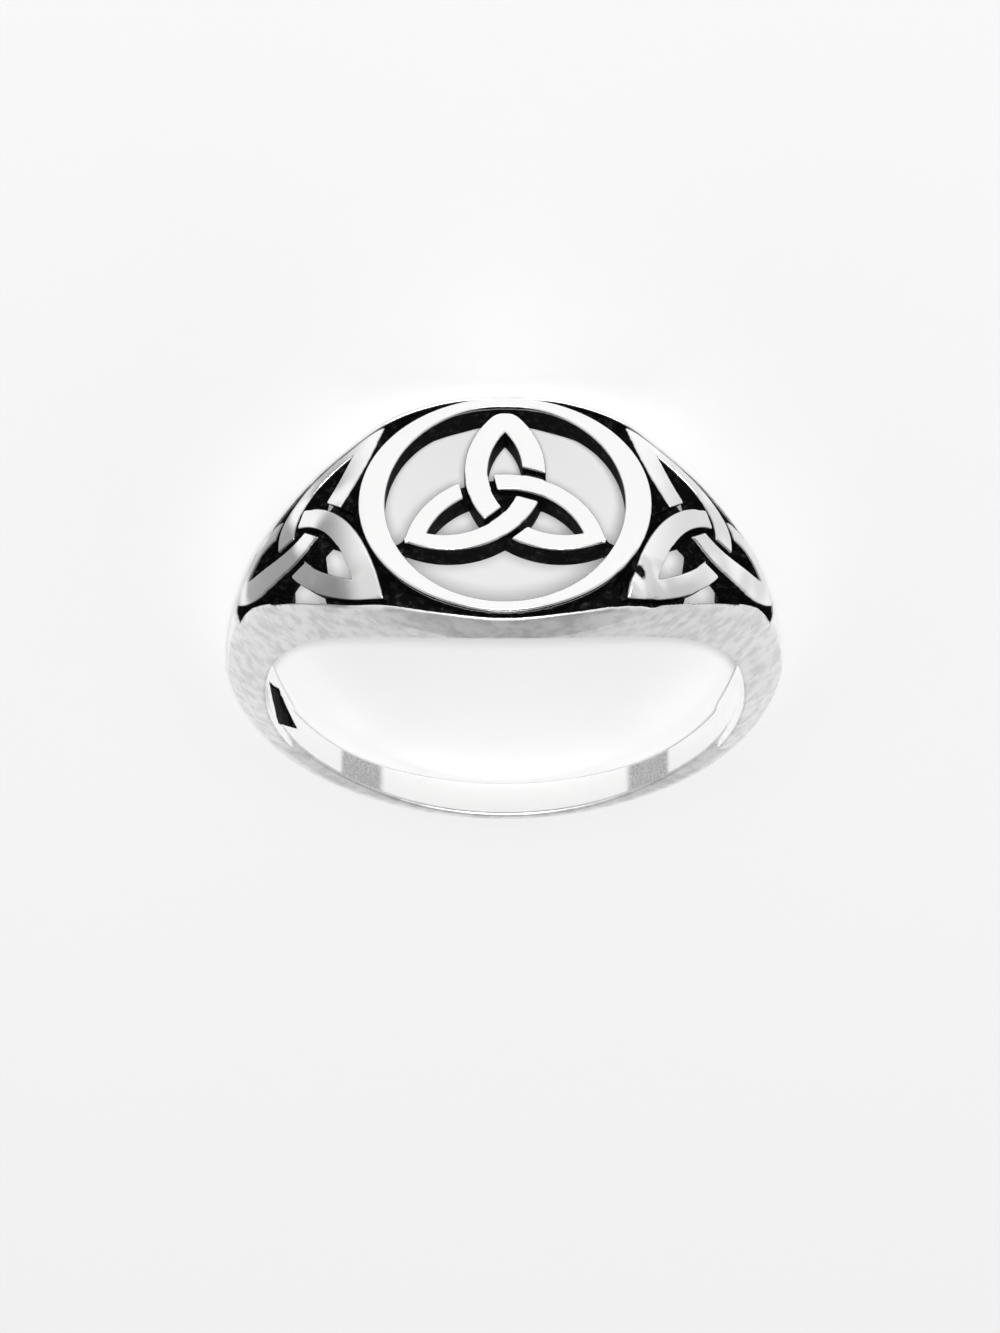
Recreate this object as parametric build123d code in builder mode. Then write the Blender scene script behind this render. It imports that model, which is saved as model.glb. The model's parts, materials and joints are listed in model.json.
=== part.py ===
from build123d import *
from collections import namedtuple
from math import atan2, cos, degrees, radians, sin, sqrt
import os

# A cast knot ring that lies on its side, in millimetres. Its own directions are x across the
# finger, u from the finger's axis up to the bezel, and w along the finger.

# Finger hole and shank
bore_radius = 8.65
shank_half_width = 0.85
shank_thickness = 0.80

# Head
head_half_width = 5.13
span_rise = 1.65
table_rise = 1.23
top_half_width = 4.84
rail_width = 0.18
rim_wall = 0.98
shell_thickness = 0.95
ground_depth = 0.56
recess_end = 3.35

# Bezel and its opening
bezel_half_length = 5.20
bezel_half_width = 4.68
opening_radius = 4.27

# Centre knot
knot_gap = 0.29
plate_thickness = 1.03
strand_curve = 3.45
strand_x = 2.00
strand_w = -1.41
strand_width = 0.77
bar_curve = 3.65
bar_w = 2.36
bar_width = 0.68
tip_slope = 0.461
neck_width = 0.34
neck_drop = 0.30
neck_thickness = 0.48
taper_width = 0.11
taper_shift = 0.18
knot_crossings = [(-0.97, -0.81), (0.97, -0.81), (0.00, 0.90)]
crossing_angles = (78, 18, -42)
web_drop = 0.45

# Gaps beside a strand where it passes over another
gap_width = 0.25
gap_depth = 0.40
gap_length = 1.20

# Shoulder knots
shoulder_angle = 48.0
knot_reach = 3.75
shoulder_strand = 0.76

# Corners of the openings in a shoulder's ground, as shares of knot_reach toward the shank and
# toward the rail
rail_opening = [(-0.33, 0.95), (0.24, 0.80), (0.33, 0.28), (0.02, 0.24), (-0.33, 0.50)]
bezel_opening = [(-0.90, 0.86), (-0.40, 0.60), (-0.40, 0.12), (-0.85, 0.45)]

# Plain lozenge inside the shank
mark_angle = -108.0
mark_length = 3.10
mark_width = 1.50
mark_depth = 0.10

margin = 0.20
table_height = bore_radius + table_rise
head_half_span = bore_radius + span_rise
tool_radius = 1.25 * table_height
core_radius = bore_radius - 2 * margin
tall = 3 * table_height

# The ring rests on the back edges of its head and its shank
tilt = atan2(head_half_width - shank_half_width, 2 * bore_radius)
lying = Plane(origin=(0, 0, 0), x_dir=(-1, 0, 0), z_dir=(0, sin(tilt), cos(tilt)))


def at(x, u, w):
    """A point of the ring in the frame in which it lies."""
    return lying.from_local_coords(Vector(x, u, w))


def radial_plane(angle):
    """The plane through the finger's axis: its x runs outward and its y along the finger."""
    a = radians(angle)
    return Plane(origin=at(0, 0, 0), x_dir=at(sin(a), cos(a), 0), z_dir=at(cos(a), -sin(a), 0))


def plan_plane(height):
    """The plane across the bezel's direction at a height. It faces the finger."""
    return Plane(origin=at(0, height, 0), x_dir=at(1, 0, 0), z_dir=at(0, -1, 0))


def touching_plane(angle, radius):
    """The plane square to a radius. It faces the finger, with x toward the shank."""
    a = radians(angle)
    return Plane(
        origin=at(radius * sin(a), radius * cos(a), 0),
        x_dir=at(cos(a), -sin(a), 0),
        z_dir=at(-sin(a), -cos(a), 0),
    )


mirror_plane = Plane(origin=(0, 0, 0), x_dir=(0, 1, 0), z_dir=(1, 0, 0))


def side_half_width(x):
    """Half width of the head along the finger at a distance across it."""
    return head_half_width * (1 - (x / head_half_span) ** 2)


def half_eye(height, half_width, half_span):
    """Half of a plan outline between two parabolas, at a height."""
    with BuildSketch(plan_plane(height)) as outline:
        with BuildLine():
            Bezier((0, half_width), (half_span / 2, half_width), (half_span, 0))
            Bezier((half_span, 0), (half_span / 2, -half_width), (0, -half_width))
            Line((0, -half_width), (0, half_width))
        make_face()
    return outline.sketch


def crowned_section(angle, centre, edge, half, inner):
    """A section from an inner radius out to an arc that is highest in the middle."""
    sag = centre - edge
    curve = (half**2 + sag**2) / (2 * sag)
    wide = half + margin
    low = centre - (curve - sqrt(curve**2 - wide**2))
    foot = side_half_width(inner * sin(radians(angle))) + margin
    with BuildSketch(radial_plane(angle)) as section:
        with BuildLine():
            Polyline((low, wide), (inner, foot), (inner, -foot), (low, -wide))
            ThreePointArc((low, -wide), (centre, 0), (low, wide))
        make_face()
    return section.sketch


def shank_section(angle, foot, thickness, middle, knee, knee_height):
    """A section from inside the finger hole out to a rounded top."""
    top = bore_radius + thickness
    knee_radius = bore_radius + thickness * knee_height
    middle_radius = bore_radius + thickness * knee_height / 2
    start, end = (bore_radius, foot), (bore_radius, -foot)
    near_knee, far_knee = (knee_radius, foot * knee), (knee_radius, -foot * knee)
    with BuildSketch(radial_plane(angle)) as section:
        with BuildLine():
            Polyline(start, (core_radius, foot), (core_radius, -foot), end)
            ThreePointArc(end, (middle_radius, -foot * middle), far_knee)
            ThreePointArc(far_knee, (top, 0), near_knee)
            ThreePointArc(near_knee, (middle_radius, foot * middle), start)
        make_face()
    return section.sketch


# Sections of the head, from the bezel to the shank. The crown's radius in the middle and at
# the rails is a share of table_height, and the rail's place a share of head_half_width. The
# ground lies below the crown by shares of ground_depth, and the hollow by shares of
# shell_thickness.
Head = namedtuple("Head", "angle centre edge half ground ground_edge shell shell_edge")
head_rows = [
    Head(0, 1.040, 0.972, 0.945, 1.56, 0.48, 1.97, 1.32),
    Head(14, 1.085, 1.000, 0.900, 1.55, 0.59, 1.65, 0.87),
    Head(25, 1.127, 1.027, 0.785, 1.66, 0.63, 1.33, 0.68),
    Head(33, 1.119, 1.018, 0.680, 1.36, 0.68, 1.12, 0.69),
    Head(44, 1.100, 1.019, 0.536, 1.02, 0.84, 0.97, 0.76),
    Head(53, 1.091, 1.027, 0.380, 1.00, 0.95, 1.25, 1.00),
    Head(61, 1.066, 1.041, 0.235, 0.95, 0.90, 2.05, 1.90),
    Head(68, 1.048, 1.034, 0.140, 0.84, 0.79, 2.10, 2.00),
    Head(78, 1.028, 1.018, 0.080, 0.71, 0.68, 2.10, 2.02),
    Head(90, 1.018, 1.010, 0.060, 0.70, 0.67, 2.10, 2.03),
]

# Sections of the shank, from the head to the bottom. The half width at the finger hole is a
# share of shank_half_width and the thickness a share of shank_thickness. The other widths are
# shares of that half width, and the knee's height is a share of the section's thickness.
Shank = namedtuple("Shank", "angle foot thickness middle knee knee_height")
shank_rows = [
    Shank(66, 2.500, 2.200, 0.720, 0.330, 0.900),
    Shank(78, 1.990, 1.920, 0.650, 0.250, 0.935),
    Shank(90, 1.805, 1.795, 0.618, 0.216, 0.940),
    Shank(112, 1.400, 1.540, 0.790, 0.380, 0.860),
    Shank(136, 1.000, 1.340, 0.870, 0.560, 0.780),
    Shank(160, 1.000, 1.060, 0.890, 0.620, 0.720),
    Shank(180, 1.000, 1.000, 0.895, 0.640, 0.700),
]


def head_sections(centre_depth, edge_depth, inner):
    """Sections of a solid whose top lies below the crown by the two columns of depths.

    They run on past both ends of the side of the head, which keeps the surface even there.
    """
    rows = []
    for row, deep, deep_edge in zip(head_rows, centre_depth, edge_depth):
        centre = table_height * row.centre - deep
        edge = table_height * row.edge - deep_edge
        rows.append((row.angle, centre, edge, head_half_width * row.half))
    before = [(-angle, *sizes) for angle, *sizes in rows[2:0:-1]]
    last_angle, *last_sizes = rows[-1]
    after = [(last_angle + 12, *last_sizes)]
    return [crowned_section(*row, inner) for row in before + rows + after]


def knot_point(x, y):
    """A point of a shoulder knot, from shares of its reach."""
    return (x * knot_reach, y * knot_reach)


def long_strand(side):
    """The strand of a shoulder knot from the tip beside the bezel on one side to the shank."""
    with BuildSketch() as strand:
        with BuildLine():
            corner = knot_point(-1.067, 1.000 * side)
            far_tip = knot_point(1.000, 0)
            far_notch = knot_point(0.630, 0)
            notch = knot_point(-0.813, 0.715 * side)
            outward, inward = knot_point(-1.227, -0.269 * side), knot_point(0.232, -0.688 * side)
            Bezier(corner, outward, inward, far_tip)
            Line(far_tip, far_notch)
            outward, inward = knot_point(-0.045, -0.293 * side), knot_point(-0.784, -0.059 * side)
            Bezier(far_notch, outward, inward, notch)
            Line(notch, corner)
        make_face()
    return strand.sketch


def cross_strand():
    """The strand of a shoulder knot between its two tips beside the bezel."""
    with BuildSketch() as strand:
        with BuildLine():
            tips = [knot_point(-1.067, 1.000), knot_point(-1.067, -1.000)]
            notches = [knot_point(-0.813, -0.715), knot_point(-0.813, 0.715)]
            Bezier(tips[0], knot_point(0.397, 0.587), knot_point(0.397, -0.587), tips[1])
            Line(tips[1], notches[0])
            Bezier(notches[0], knot_point(0.005, -0.277), knot_point(0.005, 0.277), notches[1])
            Line(notches[1], tips[0])
        make_face()
    return strand.sketch


def shoulder_gaps(over, x, y, angle):
    """The gaps in the strand that passes under another at a crossing."""
    with BuildSketch() as gaps:
        with Locations(knot_point(x, y)):
            Rectangle(gap_length, shoulder_strand + 2 * gap_width, rotation=angle)
        add(over, mode=Mode.SUBTRACT)
    return gaps.sketch


def knot_opening(corners, side):
    """An opening pierced through the ground of a shoulder, on one side of it."""
    with BuildSketch() as opening:
        with BuildLine():
            Polyline(*[knot_point(x, y * side) for x, y in corners], close=True)
        make_face()
    return opening.sketch


def knot_wedge(first, second, steps):
    """The sector of the centre knot that a strand leaves out, between two of its tips."""
    points = [(0, 0), first]
    points += steps
    points.append(second)
    with BuildSketch() as wedge:
        with BuildLine():
            Polyline(*points, close=True)
        make_face()
    return wedge.sketch


def curved_strand(side):
    """The strand of the centre knot from its top tip down one side to the opposite tip."""
    inner_curve = strand_curve - strand_width + taper_width
    with BuildSketch() as strand:
        with Locations((side * strand_x, strand_w)):
            Circle(strand_curve)
        with Locations((side * (strand_x + taper_shift), strand_w)):
            Circle(inner_curve, mode=Mode.SUBTRACT)
        corner = (side * tall, -tall)
        add(knot_wedge((0, -tall), (side * tall, tip_slope * tall), [corner]), mode=Mode.SUBTRACT)
        Circle(opening_radius - knot_gap, mode=Mode.INTERSECT)
    return strand.sketch


def bar_strand():
    """The strand of the centre knot that joins its two lower tips over the middle."""
    with BuildSketch() as strand:
        with Locations((0, bar_w)):
            Circle(bar_curve)
            Circle(bar_curve - bar_width, mode=Mode.SUBTRACT)
        right = (tall, tip_slope * tall)
        left = (-tall, tip_slope * tall)
        add(knot_wedge(right, left, [(tall, tall), (-tall, tall)]), mode=Mode.SUBTRACT)
        Circle(opening_radius - knot_gap, mode=Mode.INTERSECT)
    return strand.sketch


def knot_gaps(over, x, w, angle):
    """The gaps on both sides of a strand of the centre knot where it passes over another."""
    with BuildSketch() as gaps:
        with Locations((x, w)):
            Rectangle(gap_length, strand_width + 2 * gap_width, rotation=angle)
        add(over, mode=Mode.SUBTRACT)
    return gaps.sketch


level = [0 for row in head_rows]
ground_centre = [ground_depth * row.ground for row in head_rows]
ground_edge = [ground_depth * row.ground_edge for row in head_rows]
shell_centre = [shell_thickness * row.shell for row in head_rows]
shell_edge = [shell_thickness * row.shell_edge for row in head_rows]

# Plan outline of the head, leaning in above the finger hole, on one side of the middle
with BuildPart() as half_plan:
    upright = half_eye(bore_radius, head_half_width, head_half_span)
    extrude(upright, amount=bore_radius)
    loft([upright, half_eye(table_height, top_half_width, head_half_span)])

# Crowned head without its recesses
with BuildPart() as half_head:
    loft(head_sections(level, level, core_radius))
    add(half_plan.part, mode=Mode.INTERSECT)

# Solid under the sunk ground
with BuildPart() as half_ground:
    loft(head_sections(ground_centre, ground_edge, core_radius - margin))

# Hollow at the back of the head
with BuildPart() as half_hollow:
    loft(head_sections(shell_centre, shell_edge, core_radius - 2 * margin))
    inside = half_eye(table_height, head_half_width - rim_wall, head_half_span - rim_wall)
    extrude(inside, amount=table_height, mode=Mode.INTERSECT)

# Shoulder knot, whole and with the gaps where a strand passes under another
with BuildSketch(touching_plane(shoulder_angle, tool_radius)) as shoulder_knot:
    add(long_strand(1))
    add(long_strand(-1))
    add(cross_strand())
with BuildSketch(touching_plane(shoulder_angle, tool_radius)) as parted_knot:
    add(shoulder_knot.sketch_local)
    add(shoulder_gaps(long_strand(1), -0.592, 0.000, -38), mode=Mode.SUBTRACT)
    add(shoulder_gaps(cross_strand(), -0.122, -0.206, 69), mode=Mode.SUBTRACT)
    add(shoulder_gaps(long_strand(-1), -0.122, 0.206, 10), mode=Mode.SUBTRACT)

# Plan outline between the rails
rail_side = (head_half_width + top_half_width) / 2 - rail_width
between_rails = half_eye(table_height + margin, rail_side, head_half_span - rail_width / 2)

# Space above the sunk ground, between the rails, the bezel and the strands
with BuildPart() as half_recess:
    extrude(between_rails, amount=table_height + margin - recess_end)
    add(half_ground.part, mode=Mode.SUBTRACT)
    with BuildSketch(plan_plane(table_height + 2 * margin)) as bezel_plan:
        Ellipse(bezel_half_length, bezel_half_width)
    extrude(amount=table_height, mode=Mode.SUBTRACT)
    extrude(parted_knot.sketch, amount=tool_radius, mode=Mode.SUBTRACT)

# Openings pierced through the ground beside the rails and beside the bezel
with BuildPart() as half_pierced:
    with BuildSketch(touching_plane(shoulder_angle, tool_radius)):
        for side in (1, -1):
            add(knot_opening(rail_opening, side))
            add(knot_opening(bezel_opening, side))
        add(shoulder_knot.sketch_local, mode=Mode.SUBTRACT)
    extrude(amount=tool_radius - core_radius)
    extrude(between_rails, amount=table_height + margin, mode=Mode.INTERSECT)

# One side of the head
with BuildPart() as side_head:
    add(half_head.part)
    with BuildSketch(lying.offset(-tall / 2)):
        Circle(bore_radius)
    extrude(amount=tall, mode=Mode.SUBTRACT)
    add(half_hollow.part, mode=Mode.SUBTRACT)
    add(half_recess.part, mode=Mode.SUBTRACT)
    add(half_pierced.part, mode=Mode.SUBTRACT)

# Centre knot with its necks
with BuildPart() as centre_knot:
    with BuildSketch(plan_plane(table_height)):
        add(curved_strand(1))
        add(curved_strand(-1))
        add(bar_strand())
    extrude(amount=plate_thickness)
    overs = (curved_strand(1), bar_strand(), curved_strand(-1))
    for over, (x, w), angle in zip(overs, knot_crossings, crossing_angles):
        with BuildSketch(plan_plane(table_height + margin)):
            add(knot_gaps(over, x, w, angle))
        extrude(amount=margin + gap_depth, mode=Mode.SUBTRACT)
    with BuildSketch(plan_plane(table_height - web_drop)):
        Polygon(*knot_crossings, align=None)
    extrude(amount=plate_thickness - web_drop)
    with BuildSketch(plan_plane(table_height - neck_drop)):
        for neck_angle in (-90, degrees(atan2(tip_slope, 1)), 180 - degrees(atan2(tip_slope, 1))):
            with PolarLocations(opening_radius, 1, start_angle=neck_angle):
                Rectangle(6 * knot_gap / 2, neck_width)
    extrude(amount=neck_thickness)

# Shank
shank_sides = shank_rows + [row._replace(angle=360 - row.angle) for row in reversed(shank_rows[:-1])]
with BuildPart() as shank:
    sections = []
    for row in shank_sides:
        foot = shank_half_width * row.foot
        thickness = shank_thickness * row.thickness
        sections.append(
            shank_section(row.angle, foot, thickness, row.middle, row.knee, row.knee_height)
        )
    loft(sections)
    split(bisect_by=plan_plane(0), keep=Keep.TOP)

# Whole ring
with BuildPart() as ring:
    add(side_head.part)
    mirror(about=mirror_plane)
    add(shank.part)
    with BuildSketch(plan_plane(table_height)):
        Ellipse(bezel_half_length, bezel_half_width)
    extrude(amount=shell_thickness)
    with BuildSketch(lying.offset(-tall / 2)):
        Circle(bore_radius)
    extrude(amount=tall, mode=Mode.SUBTRACT)
    with BuildSketch(plan_plane(table_height + margin)):
        Circle(opening_radius)
    extrude(amount=table_height, mode=Mode.SUBTRACT)
    add(centre_knot.part)
    with BuildSketch(touching_plane(mark_angle, bore_radius + mark_depth)):
        ends = (mark_length / 2, 0), (-mark_length / 2, 0)
        sides = (0, mark_width / 2), (0, -mark_width / 2)
        Polygon(ends[0], sides[0], ends[1], sides[1], align=None)
    extrude(amount=3 * mark_depth, mode=Mode.SUBTRACT)

# The ring set down with the middle of its base at the origin
box = ring.part.bounding_box()
with BuildPart() as knot_ring:
    add(ring.part.moved(Location((-box.center().X, -box.center().Y, -box.min.Z))))

os.makedirs("parts", exist_ok=True)
knot_ring.part.label = "knot_ring"
export_step(knot_ring.part, "parts/knot_ring.step")
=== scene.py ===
"""A cast silver knot ring that lies on its side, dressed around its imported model.

The ring's skin is worked out from its own sizes, in millimetres and in the ring's directions:
x across the finger, u from the finger's axis up to the bezel, and w along the finger.
"""

import json
from collections import namedtuple

import bpy
import numpy as np
from bpy.props import FloatProperty, FloatVectorProperty, PointerProperty
from mathutils import Matrix, Vector


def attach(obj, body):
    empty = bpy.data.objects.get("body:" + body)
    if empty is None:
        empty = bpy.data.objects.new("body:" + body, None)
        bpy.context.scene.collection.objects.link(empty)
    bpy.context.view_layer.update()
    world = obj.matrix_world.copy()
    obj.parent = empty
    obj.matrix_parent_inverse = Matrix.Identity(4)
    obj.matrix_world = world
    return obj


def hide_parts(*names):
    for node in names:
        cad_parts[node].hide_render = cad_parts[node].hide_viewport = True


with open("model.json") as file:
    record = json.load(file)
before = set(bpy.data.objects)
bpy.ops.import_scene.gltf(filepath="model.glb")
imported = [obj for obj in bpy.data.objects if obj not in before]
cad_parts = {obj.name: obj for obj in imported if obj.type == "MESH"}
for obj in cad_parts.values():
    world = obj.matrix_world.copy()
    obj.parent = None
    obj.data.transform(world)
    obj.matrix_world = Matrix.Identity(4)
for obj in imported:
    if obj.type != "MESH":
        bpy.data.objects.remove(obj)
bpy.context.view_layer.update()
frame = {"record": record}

bl_info = {
    "name": "Knot Ring",
    "version": (1, 0, 0),
    "blender": (4, 5, 0),
    "location": "3D View > Sidebar > Knot Ring",
    "description": "Builds a cast silver knot ring and its stage around the packed model",
    "category": "Add Mesh",
}

MM = 0.001

# Places and sizes of the ring: lengths in millimetres and angles in degrees. The openings and
# gaps of the shoulder knots are in shares of knot_reach, and their tips in outline points.
shank_half_width = 0.85
shank_thickness = 0.80
top_half_width = 4.84
rim_wall = 0.98
shell_thickness = 0.95
ground_depth = 0.56
recess_end = 3.35
pierce_end = recess_end - 0.35
bezel_half_length = 5.20
bezel_half_width = 4.68
knot_gap = 0.29
plate_thickness = 1.03
strand_curve = 3.45
strand_centre = (2.00, -1.41)
strand_taper = (0.11, 0.18)
bar_curve = 3.65
bar_centre = 2.36
bar_width = 0.68
tip_slope = 0.461
tip_overlap = 0.12
neck_width = 0.34
neck_drop = 0.30
neck_thickness = 0.48
web_drop = 0.45
knot_crossings = [(-0.97, -0.81), (0.97, -0.81), (0.00, 0.90)]
crossing_angles = (78, 18, -42)
gap_width = 0.25
gap_depth = 0.40
gap_length = 1.20
shoulder_angle = 48.0
knot_reach = 3.75
shoulder_gaps = [((-0.592, 0), -38), ((-0.122, -0.206), 69), ((-0.122, 0.206), 10)]
side_tip_points = 12
end_tip_points = 8
rail_opening = [(-0.33, 0.95), (0.24, 0.80), (0.33, 0.28), (0.02, 0.24), (-0.33, 0.50)]
bezel_opening = [(-0.90, 0.86), (-0.40, 0.60), (-0.40, 0.12), (-0.85, 0.45)]
back_bezel_opening = [(-0.90, 0.86), (-0.40, 0.60), (-0.40, 0.14), (-0.80, 0.62)]
mark_angle = -108.0
mark_size = (3.10, 1.50)
mark_depth = 0.10
mark_rim = 0.02
mark_floor = 0.03
dent_place = (4.95, 9.60, 3.35)
dent_reach = 1.50
dent_depth = 0.06
dent_waves = [(3.1, 1.9, 0.4), (-1.4, 3.7, 0.8), (6.1, -4.3, 0.0)]
dent_ripple = 0.35
dent_press = 0.3

# Sections of the head and of the shank at angles from the bezel, as shares of the ring's sizes
Head = namedtuple("Head", "angle centre edge half ground ground_edge shell shell_edge")
head_rows = [
    Head(0, 1.040, 0.972, 0.945, 1.56, 0.48, 1.97, 1.32),
    Head(14, 1.085, 1.000, 0.900, 1.55, 0.59, 1.65, 0.87),
    Head(25, 1.127, 1.027, 0.785, 1.66, 0.63, 1.33, 0.68),
    Head(33, 1.119, 1.018, 0.680, 1.36, 0.68, 1.12, 0.69),
    Head(44, 1.100, 1.019, 0.536, 1.02, 0.84, 0.97, 0.76),
    Head(53, 1.091, 1.027, 0.380, 1.00, 0.95, 1.25, 1.00),
    Head(61, 1.066, 1.041, 0.235, 0.95, 0.90, 2.05, 1.90),
    Head(68, 1.048, 1.034, 0.140, 0.84, 0.79, 2.10, 2.00),
    Head(78, 1.028, 1.018, 0.080, 0.71, 0.68, 2.10, 2.02),
    Head(90, 1.018, 1.010, 0.060, 0.70, 0.67, 2.10, 2.03),
    Head(102, 1.018, 1.010, 0.060, 0.70, 0.67, 2.10, 2.03),
]
Shank = namedtuple("Shank", "angle foot thickness middle knee knee_height")
shank_rows = [
    Shank(66, 2.500, 2.200, 0.720, 0.330, 0.900),
    Shank(78, 1.990, 1.920, 0.650, 0.250, 0.935),
    Shank(90, 1.805, 1.795, 0.618, 0.216, 0.940),
    Shank(112, 1.400, 1.540, 0.790, 0.380, 0.860),
    Shank(136, 1.000, 1.340, 0.870, 0.560, 0.780),
    Shank(160, 1.000, 1.060, 0.890, 0.620, 0.720),
    Shank(180, 1.000, 1.000, 0.895, 0.640, 0.700),
]

# Rounding of the ring's edges
edge_round = 0.09
soft_round = 0.14
gap_round = 0.05

# Where one thing fades into another: degrees from the bezel, depths in millimetres, and how
# squarely a face looks outward
head_to_shank = (84, 96)
bare_shank = (70, 76)
brushed_flank = (78, 86)
side_depth = (0.16, 0.08)
bore_depth = (0.07, 0.03)
facing = (0.25, 0.55)
flank_facing = (0.15, 0.55)
black_depths = (0.06, 0.13)
black_ragged = 0.07
black_rough = 0.3
rough_spread = 0.14
inside_reach = 0.05
dull_stretch = (135, 137, 147, 149.5)
# Painted shade on the shoulders: its stretch in degrees from the bezel, where it grows across the
# finger, and its least share
painted_shade_stretch = (26, 36, 66, 74)
painted_shade_across = (-3.6, -5.2)
painted_shade_least = 0.35

triangle_limit = 190000
grid_margin = (0.2, 0.3, 0.3)
grid_below = 0.9

# Floor and light: lengths in metres, places from the middle of the finger hole
floor_half = 0.7
bright_side = (-0.30, -0.95, 0.0)
bright_turn = 0.8
dark_share = 0.96
zenith_heights = (0.45, 0.85)
zenith_share = 0.18
Lamp = namedtuple("Lamp", "name place size share")
lamps = [
    Lamp("soft_light_over_bezel", (-0.01, -0.69, 0.82), 0.10, 0.96),
    Lamp("soft_light_above", (0.10, 0.20, 0.90), 0.48, 0.04),
]

# Camera: degrees from straight above, distance in metres, shift in the picture in millimetres
camera_lean = 40.8
camera_distance = 0.35
camera_shift = (-0.18, -0.11)
camera_lens = 260.3
camera_sensor = 36


class KnotRingSizes(bpy.types.PropertyGroup):
    """Sizes of the ring's skin."""

    bore_radius: FloatProperty(
        name="Finger hole radius",
        description="Radius of the finger hole",
        default=8.65 * MM,
        unit="LENGTH",
    )
    table_rise: FloatProperty(
        name="Table rise",
        description="Height of the bezel above the finger hole",
        default=1.23 * MM,
        unit="LENGTH",
    )
    span_rise: FloatProperty(
        name="Span rise",
        description="Reach of the head's outline past the finger hole",
        default=1.65 * MM,
        unit="LENGTH",
    )
    head_half_width: FloatProperty(
        name="Head half width",
        description="Half of the head's width along the finger",
        default=5.13 * MM,
        unit="LENGTH",
    )
    rail_width: FloatProperty(
        name="Rail width",
        description="Width of the polished rails beside the shoulders",
        default=0.18 * MM,
        unit="LENGTH",
    )
    opening_radius: FloatProperty(
        name="Opening radius",
        description="Radius of the round opening in the bezel",
        default=4.27 * MM,
        unit="LENGTH",
    )
    strand_width: FloatProperty(
        name="Strand width",
        description="Width of the centre knot's curved strands",
        default=0.77 * MM,
        unit="LENGTH",
    )
    shoulder_strand: FloatProperty(
        name="Shoulder strand",
        description="Width of the shoulder knots' strands",
        default=0.76 * MM,
        unit="LENGTH",
    )
    pitch: FloatProperty(
        name="Pitch",
        description="Cell size in which the skin is worked out",
        default=0.05 * MM,
        unit="LENGTH",
    )


class KnotRingFinish(bpy.types.PropertyGroup):
    """Colours and finish of the silver, with the painted shade on its shoulders and in its knocks.
    """

    silver: FloatVectorProperty(
        name="Silver",
        description="Colour of the polished silver",
        default=(0.98, 0.98, 0.975),
        subtype="COLOR",
        size=3,
    )
    brushed_silver: FloatVectorProperty(
        name="Brushed silver",
        description="Colour of the brushed sides",
        default=(0.95, 0.95, 0.95),
        subtype="COLOR",
        size=3,
    )
    dull_silver: FloatVectorProperty(
        name="Dull silver",
        description="Colour of the duller patches",
        default=(0.74, 0.74, 0.74),
        subtype="COLOR",
        size=3,
    )
    grained_silver: FloatVectorProperty(
        name="Grained silver",
        description="Colour of the two stretches inside the shank",
        default=(0.28, 0.28, 0.28),
        subtype="COLOR",
        size=3,
    )
    # Painted shade: grey patches on the shoulders that stand in for darker reflections, strongest
    # on one side
    painted_shade: FloatVectorProperty(
        name="Film",
        description="Colour of the grey film on the shoulders",
        default=(0.36, 0.36, 0.36),
        subtype="COLOR",
        size=3,
    )
    # Also the colour of the painted shade in the deepest knocks
    blackening_and_shade: FloatVectorProperty(
        name="Blackening",
        description="Colour of the blackened grounds",
        default=(0.003, 0.003, 0.003),
        subtype="COLOR",
        size=3,
    )
    rubbed: FloatVectorProperty(
        name="Rubbed",
        description="Colour of the rubbed grounds",
        default=(0.040, 0.040, 0.040),
        subtype="COLOR",
        size=3,
    )
    wave: FloatProperty(
        name="Wave",
        description="Depth of the slow waves",
        default=0.010 * MM,
        unit="LENGTH",
    )
    marks: FloatProperty(
        name="Marks",
        description="Depth of the fine marks",
        default=0.0006 * MM,
        unit="LENGTH",
    )
    polish: FloatProperty(
        name="Polish",
        description="Roughness of the polished tops",
        default=0.22,
        min=0.0,
        max=1.0,
        subtype="FACTOR",
    )
    satin: FloatProperty(
        name="Satin",
        description="Roughness of the brushed side faces",
        default=0.42,
        min=0.0,
        max=1.0,
        subtype="FACTOR",
    )


class KnotRingStage(bpy.types.PropertyGroup):
    """Floor and light."""

    floor_colour: FloatVectorProperty(
        name="Floor",
        description="Colour of the floor",
        default=(0.84, 0.84, 0.84),
        subtype="COLOR",
        size=3,
    )
    sky: FloatProperty(
        name="Sky",
        description="Strength of the even light near the horizon",
        default=0.70,
        min=0.0,
    )
    key: FloatProperty(
        name="Key light",
        description="Power of the soft lights together",
        default=10.6,
        min=0.0,
        unit="POWER",
    )


def smooth_column(rows, name, angles_wanted):
    """A column of a table, joined by a smooth curve over the angles that are wanted."""
    angles = np.array([row.angle for row in rows], float)
    values = np.array([getattr(row, name) for row in rows], float)
    slopes = np.gradient(values, angles)
    slopes[0] = slopes[-1] = 0.0
    at = np.clip(angles_wanted, angles[0], angles[-1])
    i = np.clip(np.searchsorted(angles, at, side="right") - 1, 0, len(angles) - 2)
    step = angles[i + 1] - angles[i]
    t = (at - angles[i]) / step
    rise = 3 * t**2 - 2 * t**3
    leave = (t**3 - 2 * t**2 + t) * step * slopes[i]
    arrive = (t**3 - t**2) * step * slopes[i + 1]
    return (1 - rise) * values[i] + leave + rise * values[i + 1] + arrive


def ramp(value, start, end):
    """A share that grows from 0 to 1 between two values."""
    return np.clip((value - start) / (end - start), 0, 1)


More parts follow.
